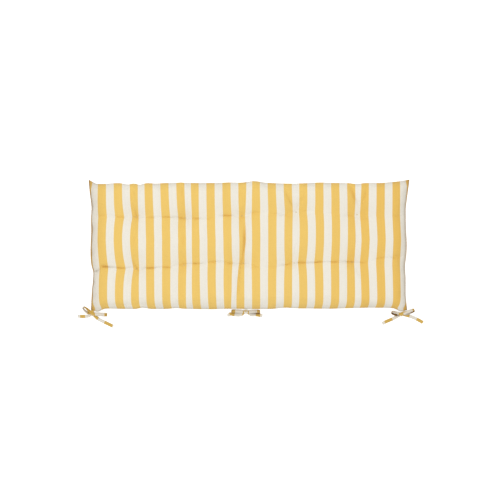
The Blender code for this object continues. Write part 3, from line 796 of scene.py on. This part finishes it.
def tube_mesh(name, rings, across_at, along_at):
    """Rings of points joined into a closed skin, with the cloth's UV map on it."""
    sides = len(rings[0])
    verts = [point for ring in rings for point in ring]
    faces = []
    for ring in range(len(rings) - 1):
        for side in range(sides):
            after = (side + 1) % sides
            here, there = ring * sides, (ring + 1) * sides
            faces.append((here + side, here + after, there + after, there + side))
    faces.append(tuple(reversed(range(sides))))
    faces.append(tuple(range(len(verts) - sides, len(verts))))
    data = bpy.data.meshes.new(name)
    data.from_pydata([tuple(vert) for vert in verts], [], faces)
    layer = data.uv_layers.new(name="cloth")
    for loop in data.loops:
        ring, side = divmod(loop.vertex_index, sides)
        layer.data[loop.index].uv = (along_at[ring], across_at[side])
    data.shade_smooth()
    return add_object(name, data)


def strand_line(knot, seam, fold, twist, shift, tail, lift):
    """Stations of one strand: its points, width directions and where the tail begins."""
    out, fall = LEAD_FALL
    side = Vector((1, 0, 0))
    points = [seam, seam - Vector((0, out, fall)), (seam + knot) / 2]
    points = [point + Vector((0, 0, lift)) for point in points]
    widths = [side, side, side]
    away = Vector((fold[0] * MM - knot.x, fold[1] * MM - knot.y, 0))
    level = Vector((-away.y, away.x, 0)).normalized()
    for share, height, lower in LOOP_SECTION:
        turned = math.radians(twist) * min(1.0, share * TWIST_FROM_KNOT)
        rise = max(0.0, abs(math.sin(turned)) * TAPE_WIDTH / 2 - TWIST_SINK)
        base = Vector((knot.x, knot.y, height * MM + rise))
        points.append(base + away * share + level * shift * lower * MM)
        widths.append(level * math.cos(turned) + Vector((0, 0, math.sin(turned))))
    tail_start = len(points)
    route = [Vector((x * MM, y * MM, LAYER_LIFT)) for x, y in tail]
    before = [Vector((knot.x, knot.y, TAIL_ROOT))] + route
    for step, point in enumerate(route):
        ahead = route[min(step + 1, len(route) - 1)] - before[step]
        points.append(point)
        widths.append(Vector((-ahead.y, ahead.x, 0)).normalized())
    for step in range(1, len(widths)):
        if widths[step].dot(widths[step - 1]) < 0:
            widths[step] = -widths[step]
    return points, widths, tail_start


def cloth_place(distance, changes):
    """Place along the striped cloth at a distance along a tape, from where its colour changes."""
    changes = np.array(changes) * MM
    turns = np.arange(len(changes))
    stripes = (turns // 2 + turns % 2 * YELLOW_SHARE) * STRIPE_PITCH
    beyond = min(0.0, distance - changes[0]) + max(0.0, distance - changes[-1])
    first_yellow = STRIPE_PITCH * (0.5 - YELLOW_SHARE / 2)
    return np.interp(distance, changes, stripes) + beyond + first_yellow


def make_strand(name, knot, seam, size, lift):
    fold, twist, shift, tail, loop_changes, tail_changes, dark = size
    points, widths, tail_start = strand_line(knot, seam, fold, twist, shift, tail, lift)
    path = smooth_path(points, STRAND_STEPS)
    across = [width.normalized() for width in smooth_path(widths, STRAND_STEPS)]
    reached = [0.0]
    for here, there in zip(path, path[1:]):
        reached.append(reached[-1] + (there - here).length)
    knot_ring = 3 * STRAND_STEPS
    tail_ring = (tail_start - 1) * STRAND_STEPS
    section = list(tape_section())
    loop = path[knot_ring:tail_ring]
    loop_middle = sum(loop, Vector()) / len(loop)
    loop_reach = max((point - knot).length for point in loop)
    cup_depth, cup_length = TAPE_CUP
    rings, along_at, inside = [], [], []
    for step, point in enumerate(path):
        ahead = path[min(step + 1, len(path) - 1)] - path[max(step - 1, 0)]
        normal = across[step].cross(ahead).normalized()
        pinched = math.exp(-(((point - knot).length / PINCH_REACH) ** 2))
        half = TAPE_WIDTH / 2 * (1 - (1 - KNOT_PINCH) * pinched)
        thick = TAPE_THICKNESS / 2 * (1 + KNOT_CRUSH * pinched)
        cup = cup_depth * math.sin(reached[step] / cup_length)
        rings.append([
            point + across[step] * half * wide + normal * (thick * high + cup * (wide * wide - 0.5))
            for wide, high in section
        ])
        in_loop = knot_ring <= step < tail_ring
        # painted shade: a loop's inner faces are painted darker from the knot out to its fold, and its
        # outside where it turns down at the fold
        inwards = normal.dot(loop_middle - point) if in_loop else 0.0
        out = ((point - knot).length / loop_reach) ** 3
        inner_shade = dark[0] + (dark[1] - dark[0]) * out
        turned = FOLD_DARK * out**3 if in_loop else 0.0
        inside += [inner_shade if high * inwards > 0 else turned for _, high in section]
        if step < tail_ring:
            along_at.append(cloth_place(reached[step] - reached[knot_ring], loop_changes))
        else:
            along_at.append(cloth_place(reached[-1] - reached[step], tail_changes))
    across_at = [wide * TAPE_WIDTH / 2 for wide, _ in section]
    strand = tube_mesh(name, rings, across_at, along_at)
    # the painted shade, kept on the strand's points
    write_values(strand.data, "inside", inside)
    return strand, path, reached[-1]


def wrapped_fold(share, angle):
    """How far the folds of the turn of tape stand out, at a share of its length and an angle."""
    long_folds = LONG_FOLD * math.sin(7 * share + 1.4 * math.sin(angle))
    return 1 + long_folds + ROUND_FOLD * math.sin(3 * angle + 2 * share)


def make_knot(name, knot, direction, cloth_shift):
    """The turn of tape round the middle of a bow: a short barrel with wrapped folds."""
    long, wide, high = (size / 2 for size in KNOT_SIZE)
    along = Vector((direction.x, direction.y, 0)).normalized()
    level = Vector((-along.y, along.x, 0))
    up = Vector((0, 0, 1))
    rings, along_at = [], []
    for ring in range(KNOT_RINGS + 1):
        share = -1 + 2 * ring / KNOT_RINGS
        bulge = math.sqrt(max(0.0, 1 - abs(share) ** KNOT_ROUND))
        size = KNOT_END + (1 - KNOT_END) * bulge
        points = []
        for side in range(KNOT_SIDES):
            angle = 2 * math.pi * side / KNOT_SIDES
            fold = wrapped_fold(share, angle)
            points.append(
                knot + along * long * share * KNOT_FULL
                + level * wide * size * fold * math.cos(angle)
                + up * high * size * fold * math.sin(angle)
            )
        rings.append(points)
        along_at.append(cloth_shift * MM + STRIPE_PITCH / 2 + share * KNOT_STRIPE)
    across_at = [TAPE_WIDTH * side / KNOT_SIDES for side in range(KNOT_SIDES)]
    return tube_mesh(name, rings, across_at, along_at)


def seam_start(x, y):
    """Where a tie sewn in at this place of the panel's edge comes out."""
    flat_x = max(-HALF_LENGTH, min(HALF_LENGTH, x * MM))
    seam_x, seam_y = face_place(flat_x, y * MM)
    return Vector((seam_x, seam_y, middle_height(x * MM, y * MM)))


def make_tie(node, size, tape):
    knot = Vector((size["knot"][0] * MM, size["knot"][1] * MM, KNOT_LIFT))
    seam = seam_start(*size["sewn_at"])
    folds = [Vector((*fold, 0)) for fold, *_ in size["strands"]]
    wrap = make_knot(f"{node}_knot", knot, folds[1] - folds[0], size["knot_cloth"])
    pieces = [wrap]
    for count, strand_size in enumerate(size["strands"], 1):
        lift = STRANDS_APART if count == 1 else -STRANDS_APART
        strand, path, length = make_strand(f"{node}_strand_{count}", knot, seam, strand_size, lift)
        [wrap] if count == 1 else []
        pieces.append(strand)
    for piece in pieces:
        piece.data.materials.append(tape)
        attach(piece, "root")
        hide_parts(node)


# ---- tuft stitches ----


def stitch_turn(places, middle, turn, side):
    """One turn of thread across a pit: side is 1 on the face and -1 on the underside."""
    for share in np.linspace(-1, 1, STITCH_POINTS):
        x = middle[0] + STITCH_HALF * share
        y = middle[1] + turn * STITCH_PITCH + STITCH_SLANT * turn * share
        near = np.argmin(np.hypot(places[:, 0] - x, places[:, 1] - y))
        sunk = STITCH_SINK * (1 - share**4) - STITCH_SINK
        yield x, y, max(places[near, 2] + side * sunk, STITCH_LOWEST), 1


def make_tuft_stitches(case):
    """Three turns of thread in the pit of every tuft, on the face and on the underside."""
    places = places_of(case.data)
    x, y = flat_places(case.data)
    upper, seam = panel_points(case.data)
    line = bpy.data.curves.new("tuft_stitches", "CURVE")
    line.dimensions = "3D"
    line.bevel_depth = THREAD_RADIUS
    line.bevel_resolution = 3
    for tuft in TUFTS:
        gap = tuft_gap(x, y, tuft)
        for panel, side in ((upper, 1), (~(upper | seam), -1)):
            here = np.flatnonzero(panel & (gap < PIT_REACH))
            middle = places[here[np.argmin(gap[here])]]
            for turn in (-1, 0, 1):
                spline = line.splines.new("POLY")
                spline.points.add(STITCH_POINTS - 1)
                for point, place in zip(spline.points, stitch_turn(places[here], middle, turn, side)):
                    point.co = place
    stitches = add_object("tuft_stitches", line)
    line.materials.append(sewing_thread())
    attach(stitches, "root")


# ---- node helpers ----


class Field:
    """A value that changes over a surface; sums and products with it add Math nodes to its tree."""

    def __init__(self, tree, socket):
        self.tree = tree
        self.socket = socket

    def worked(self, operation, *values):
        return calc(self.tree, operation, self, *values)

    def __add__(self, other):
        return calc(self.tree, "ADD", self, other)

    def __sub__(self, other):
        return calc(self.tree, "SUBTRACT", self, other)

    def __rsub__(self, other):
        return calc(self.tree, "SUBTRACT", other, self)

    def __mul__(self, other):
        return calc(self.tree, "MULTIPLY", self, other)

    def __truediv__(self, other):
        return calc(self.tree, "DIVIDE", self, other)


def feed(socket, value):
    """Links a field to a socket, or sets the socket to a plain value."""
    if isinstance(value, Field):
        value.tree.links.new(value.socket, socket)
    else:
        socket.default_value = value


def fed_node(tree, kind, output, inputs, **settings):
    """A node with its settings and inputs, as the field that comes out of it."""
    node = tree.nodes.new(kind)
    for name, value in settings.items():
        setattr(node, name, value)
    for name, value in inputs.items():
        feed(node.inputs[name], value)
    return Field(tree, node.outputs[output])


def calc(tree, operation, *values):
    """A Math node; each value is a field or a number."""
    return fed_node(tree, "ShaderNodeMath", 0, dict(enumerate(values)), operation=operation)


def eased(value, low, high):
    """0 below low, 1 above high, smooth between."""
    inputs = {"Value": value, "From Min": low, "From Max": high}
    return fed_node(value.tree, "ShaderNodeMapRange", "Result", inputs, interpolation_type="SMOOTHSTEP")


def split(vector):
    """The parts of a place."""
    node = vector.tree.nodes.new("ShaderNodeSeparateXYZ")
    feed(node.inputs[0], vector)
    return [Field(vector.tree, socket) for socket in node.outputs]


def noise(vector, scale, detail, distortion=0.0):
    inputs = {"Vector": vector, "Scale": scale, "Detail": detail, "Distortion": distortion}
    return fed_node(vector.tree, "ShaderNodeTexNoise", "Fac", inputs)


def streaks(cloth, per_metre, detail):
    """Noise drawn out along the cloth: how fine it is across it and along it."""
    inputs = {"Vector": cloth, "Scale": (*per_metre, 1)}
    return noise(fed_node(cloth.tree, "ShaderNodeMapping", "Vector", inputs), 1.0, detail)


def mixed(tree, factor, first, second, blend="MIX"):
    """A colour Mix node; each colour is a field or a value."""
    node = tree.nodes.new("ShaderNodeMix")
    node.data_type = "RGBA"
    node.blend_type = blend
    for name, value in (("Factor", factor), ("A", first), ("B", second)):
        feed(next(socket for socket in node.inputs if socket.name == name and socket.enabled), value)
    return Field(tree, next(socket for socket in node.outputs if socket.enabled))


def toned(colour, tone):
    """A colour made lighter or darker by a field."""
    grey = fed_node(tone.tree, "ShaderNodeCombineXYZ", 0, {"X": tone, "Y": tone, "Z": tone})
    return mixed(tone.tree, 1.0, colour, grey, "MULTIPLY")


def raised(height, distance, strength, under=None):
    """The surface's direction with this height on it, over what already lies under it."""
    inputs = {"Height": height, "Distance": distance, "Strength": strength}
    if under is not None:
        inputs["Normal"] = under
    return fed_node(height.tree, "ShaderNodeBump", "Normal", inputs)


# ---- shader groups ----


def new_group(name, inputs, outputs):
    """A shader group: its tree, the fields that it is given and the sockets that it puts out."""
    tree = bpy.data.node_groups.new(name, "ShaderNodeTree")
    for socket_name, value in inputs.items():
        kind = "NodeSocketVector" if value is None else "NodeSocketFloat"
        socket = tree.interface.new_socket(name=socket_name, in_out="INPUT", socket_type=kind)
        if value is not None:
            socket.default_value = value
    for socket_name in outputs:
        tree.interface.new_socket(name=socket_name, in_out="OUTPUT", socket_type="NodeSocketFloat")
    given = tree.nodes.new("NodeGroupInput")
    made = tree.nodes.new("NodeGroupOutput")
    return tree, {socket.name: Field(tree, socket) for socket in given.outputs}, made.inputs


def woven_stripes():
    """Yellow bands of dyed warp across the cloth, with edges that wander by a thread."""
    inputs = {"Cloth": None, "Pitch": STRIPE_PITCH, "Yellow share": YELLOW_SHARE, "Edge": STRIPE_EDGE}
    tree, given, made = new_group("woven stripes", inputs, ["Yellow"])
    wander = streaks(given["Cloth"], (40, 260), 3.0)
    place = (split(given["Cloth"])[0] + (wander - 0.5) * EDGE_WANDER) / given["Pitch"]
    from_middle = (place.worked("FRACT") - 0.5).worked("ABSOLUTE")
    half = given["Yellow share"] * 0.5
    outside = eased(from_middle, half - given["Edge"], half + given["Edge"])
    feed(made["Yellow"], 1.0 - outside)
    return tree


def plain_weave():
    """Warp and weft passing over and under each other: their height, and the gaps between."""
    inputs = {"Cloth": None, "Thread": THREAD_PITCH}
    tree, given, made = new_group("plain weave", inputs, ["Height", "Gap"])
    angles = [part / given["Thread"] * math.pi for part in split(given["Cloth"])[:2]]
    warp, weft = [angle.worked("SINE").worked("ABSOLUTE") for angle in angles]
    over = angles[0].worked("COSINE") * angles[1].worked("COSINE") * 0.5 + 0.5
    height = (warp * over).worked("MAXIMUM", weft * (1.0 - over))
    feed(made["Height"], height)
    feed(made["Gap"], 1.0 - eased(height, 0.05, 0.45))
    return tree


def yarn_slubs():
    """Uneven yarn: faint streaks along both thread directions, slow patches and weft bars."""
    tree, given, made = new_group("yarn slubs", {"Cloth": None, "Amount": 0.08}, ["Tone", "Lift"])
    warp = streaks(given["Cloth"], (900, 28), 2.0)
    weft = streaks(given["Cloth"], (22, 800), 2.0)
    bars = streaks(given["Cloth"], (180, 2.5), 1.5)
    both = warp + weft
    patch_share = 0.6
    total = both + noise(given["Cloth"], 9.0, 3.0) * patch_share + bars
    average = 0.5 * (3 + patch_share)
    feed(made["Tone"], (total - average) * given["Amount"] + 1.0)
    feed(made["Lift"], both * 0.5)
    return tree


def seam_shade():
    """Painted shade beside a seam: how much darker the cloth is painted, from its distance to the seam."""
    inputs = {"Distance": 1.0, "Reach": 4 * MM, "Amount": 0.4}
    tree, given, made = new_group("seam shade", inputs, ["Shade"])
    near = 1.0 - eased(given["Distance"], 0.0, given["Reach"])
    feed(made["Shade"], near * given["Amount"])
    return tree


def soft_rumple():
    """Small soft dents that handling leaves in washed cotton."""
    tree, given, made = new_group("soft rumple", {"Cloth": None, "Size": 30.0}, ["Height"])
    feed(made["Height"], noise(given["Cloth"], given["Size"], 2.5, 0.4))
    return tree


def stitch_row():
    """A row of machine stitches along the cloth, at a distance from its middle line."""
    inputs = {"Cloth": None, "Offset": 4.6 * MM, "Length": 3.0 * MM, "Width": 0.35 * MM}
    tree, given, made = new_group("stitch row", inputs, ["Stitch", "Height"])
    along, across, _ = split(given["Cloth"])
    off = (across - given["Offset"]).worked("ABSOLUTE")
    inside = 1.0 - eased(off, given["Width"] * 0.6, given["Width"])
    from_middle = ((along / given["Length"]).worked("FRACT") - 0.5).worked("ABSOLUTE")
    stitch = inside * (1.0 - eased(from_middle, *DASH_END))
    sunk = 1.0 - eased(off, 0.0, given["Width"] * 2.5)
    feed(made["Stitch"], stitch)
    feed(made["Height"], stitch * 0.8 - sunk * 0.6)
    return tree


GROUPS = {build.__name__: build() for build in (
    woven_stripes, plain_weave, yarn_slubs, seam_shade, soft_rumple, stitch_row,
)}


# ---- materials ----


def placed(tree, group, **values):
    """A group placed in a material, with its own values: the fields that it puts out."""
    node = tree.nodes.new("ShaderNodeGroup")
    node.node_tree = GROUPS[group]
    for name, value in values.items():
        feed(node.inputs[name], value)
    return {socket.name: Field(tree, socket) for socket in node.outputs}


def new_material(name, constants):
    """A material, its tree and its shader's sockets, with what is the same all over it set."""
    material = bpy.data.materials.new(name)
    material.use_nodes = True
    shader = material.node_tree.nodes["Principled BSDF"].inputs
    for socket, value in constants.items():
        shader[socket].default_value = value
    return material, material.node_tree, shader


def cotton(name):
    """A matt cotton material, and the place on its cloth."""
    material, tree, shader = new_material(name, COTTON_FINISH)
    return material, tree, shader, fed_node(tree, "ShaderNodeUVMap", "UV", {}, uv_map="cloth")


def read_value(tree, name):
    """A value that the mesh carries on its points."""
    return fed_node(tree, "ShaderNodeAttribute", "Fac", {}, attribute_name=name)


def dyed(tree, cloth, white, yellow, slub_amount):
    """The striped cloth's colour with the tone of its yarns and painted shade in the gaps of its weave,
    and the weave and slubs in it.
    """
    stripes = placed(tree, "woven_stripes", Cloth=cloth)
    weave = placed(tree, "plain_weave", Cloth=cloth)
    slubs = placed(tree, "yarn_slubs", Cloth=cloth, Amount=slub_amount)
    colour = mixed(tree, stripes["Yellow"], white, yellow)
    # painted shade: the gaps between the yarns are painted darker
    return toned(colour, slubs["Tone"] * (weave["Gap"] * -0.16 + 1.06)), weave, slubs


def finish_cloth(shader, colour, weave, slubs, under):
    """Colour, roughness and the relief of the yarns over what already lies under them."""
    feed(shader["Base Color"], colour)
    feed(shader["Roughness"], weave["Gap"] * 0.1 + 0.82)
    yarns = weave["Height"] + slubs["Lift"] * 0.5
    feed(shader["Normal"], raised(yarns, YARN_RELIEF, strength=0.8, under=under))


def case_cloth():
    material, tree, shader, cloth = cotton("striped_cotton_case")
    # painted shade: the yellow is painted darker towards the right end
    yellow = mixed(tree, eased(split(cloth)[0], RIGHT_SHADE_FROM, RIGHT_SHADE_TO), YELLOW, SHADED_YELLOW)
    colour, weave, slubs = dyed(tree, cloth, OFF_WHITE, yellow, slub_amount=0.07)
    # painted shade beside the seam, towards both ends and at the corner tips
    for name, reach, amount in EDGE_SHADES:
        near = placed(tree, "seam_shade", Distance=read_value(tree, name), Reach=reach, Amount=amount)
        colour = mixed(tree, near["Shade"], colour, SEAM_SHADE_COLOUR, "MULTIPLY")
    rumple = placed(tree, "soft_rumple", Cloth=cloth, Size=26.0)
    finish_cloth(shader, colour, weave, slubs, raised(rumple["Height"], RUMPLE_RELIEF, strength=0.5))
    return material


def tape_cloth():
    material, tree, shader, cloth = cotton("striped_cotton_tape")
    # painted shade: the tape's colours are the case's cloth painted darker
    colour, weave, slubs = dyed(tree, cloth, SHADED_TAPE_WHITE, SHADED_TAPE_YELLOW, slub_amount=0.09)
    stitches = placed(tree, "stitch_row", Cloth=cloth)
    colour = mixed(tree, stitches["Stitch"] * 0.8, colour, THREAD_WHITE)
    # painted shade inside the loops and on the outsides of their folds
    colour = mixed(tree, read_value(tree, "inside"), colour, LOOP_SHADE_COLOUR, "MULTIPLY")
    finish_cloth(shader, colour, weave, slubs, raised(stitches["Height"], STITCH_RELIEF, strength=0.8))
    return material


def sewing_thread():
    material, tree, shader = new_material("sewing_thread", THREAD_FINISH)
    place = fed_node(tree, "ShaderNodeTexCoord", "Object", {})
    inputs = {"Vector": place, "Scale": 900}
    ply = fed_node(tree, "ShaderNodeTexWave", "Fac", inputs, bands_direction="DIAGONAL")
    feed(shader["Base Color"], toned(TUFT_THREAD, ply * 0.14 + 0.86))
    feed(shader["Roughness"], ply * 0.1 + 0.6)
    feed(shader["Normal"], raised(ply, PLY_RELIEF, strength=0.6))
    return material


# ---- studio ----


def camera_share(tree):
    """1 for what the camera sees directly, 0 for light on its way to something else."""
    return fed_node(tree, "ShaderNodeLightPath", "Is Camera Ray", {})


def make_floor():
    data = bpy.data.meshes.new("floor")
    corners = [(-1, -1), (1, -1), (1, 1), (-1, 1)]
    places = [(x * FLOOR_REACH, y * FLOOR_REACH, -FLOOR_GAP) for x, y in corners]
    data.from_pydata(places, [], [(0, 1, 2, 3)])
    material, tree, shader = new_material("floor_paper", PAPER_FINISH)
    feed(shader["Emission Strength"], camera_share(tree) * FLOOR_GLOW)
    data.materials.append(material)
    add_object("floor", data)


def add_softbox():
    data = bpy.data.lights.new("softbox", "AREA")
    data.shape = "DISK"
    data.size = SOFTBOX_SIZE
    data.energy = SOFTBOX_POWER
    light = add_object("softbox", data)
    light.location = SOFTBOX_PLACE
    light.rotation_mode = "QUATERNION"
    light.rotation_quaternion = Vector(SOFTBOX_PLACE).to_track_quat("Z", "Y")


def light_studio():
    """A white room, brighter overhead than at the horizon, and one softbox behind on the left."""
    add_softbox()
    world = bpy.data.worlds.new("studio")
    bpy.context.scene.world = world
    world.use_nodes = True
    tree = world.node_tree
    background = tree.nodes["Background"].inputs
    height = split(fed_node(tree, "ShaderNodeTexCoord", "Generated", {}))[2].worked("MAXIMUM", 0.0)
    horizon, overhead = ROOM_LIGHT
    room = height * (overhead - horizon) + horizon
    seen = camera_share(tree)
    feed(background["Color"], mixed(tree, height.worked("MAXIMUM", seen), HORIZON_TINT, OVERHEAD_TINT))
    feed(background["Strength"], seen * SEEN_ROOM + (1.0 - seen) * room)
    bpy.context.scene.view_settings.view_transform = "Standard"


# ---- everything together ----

set_camera()
tie_tape = tape_cloth()
for tie_node, tie_size in TIES.items():
    make_tie(tie_node, tie_size, tie_tape)
cushion_case = make_case()
make_tuft_stitches(cushion_case)
make_floor()
light_studio()
